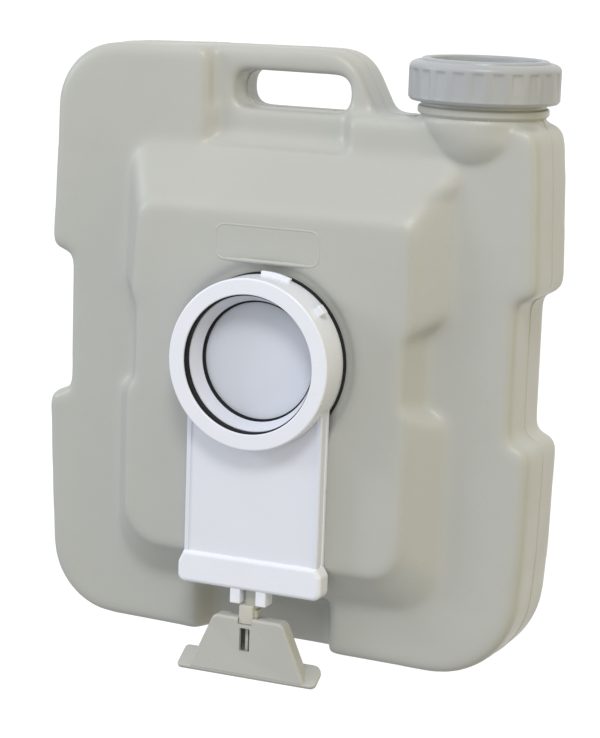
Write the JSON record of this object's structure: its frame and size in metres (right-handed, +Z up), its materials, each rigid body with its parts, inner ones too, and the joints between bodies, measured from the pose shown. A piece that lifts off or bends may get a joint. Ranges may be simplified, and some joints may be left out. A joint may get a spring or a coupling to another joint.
{
  "type": "portable camp toilet holding tank",
  "caption": "Flat rectangular waste holding tank of a portable camp toilet, with a round slide valve, pull handle, carry handle and a corner spout closed by a fluted screw cap.",
  "frame": {"origin": "on the valve axis, at the flat base that rests on the ground when the tank lies flat as in use", "axes": "+Z up along the valve axis towards the bowl, +Y towards the carry handle and spout, -Y towards the pull handle, +X towards the spout side"},
  "size_m": [0.3613, 0.4275, 0.132],
  "materials": {
    "tank_grey": "satin blow moulded polyethylene, fine orange peel",
    "valve_white": "semi gloss moulded plastic",
    "blade_blue_grey": "satin",
    "seal_black": "matt",
    "cap_grey": "semi gloss, slightly milky",
    "stem_beige": "satin",
    "steel": "plain"
  },
  "bodies": {
    "root": {"tank_body": "tank_grey", "valve_base": "valve_white", "valve_base_gasket": "seal_black", "valve_top_plate": "valve_white", "gate_upper_seal": "seal_black", "gate_lower_seal": "seal_black", "housing_end_cap": "valve_white", "stem_wiper_seal": "seal_black", "housing_screws": "steel", "socket_ring": "valve_white", "socket_lip_seal": "seal_black"},
    "gate": {"gate_blade": "blade_blue_grey", "gate_stem": "stem_beige", "pull_handle": "tank_grey", "handle_clip_pin": "steel"},
    "cap_plug": {"spout_cap_disc": "cap_grey", "spout_cap_gasket": "seal_black"},
    "cap_ring": {"spout_cap_ring": "cap_grey"}
  },
  "joints": [
    {"name": "valve_slide", "type": "slide", "parent": "root", "child": "gate", "axis": [0, -1, 0], "range_m": [0, 0.09]},
    {"name": "cap_lift", "type": "slide", "parent": "root", "child": "cap_plug", "axis": [0, 1, 0], "range_m": [0, 0.0151]},
    {"name": "cap_turn", "type": "hinge", "parent": "cap_plug", "child": "cap_ring", "pos_m": [0.1286, 0.19, 0.052], "axis": [0, 1, 0], "range_deg": [0, 900]}
  ],
  "couplings": [
    {"joint": "cap_lift", "follows": "cap_turn", "m_per_rad": 0.00095493}
  ]
}
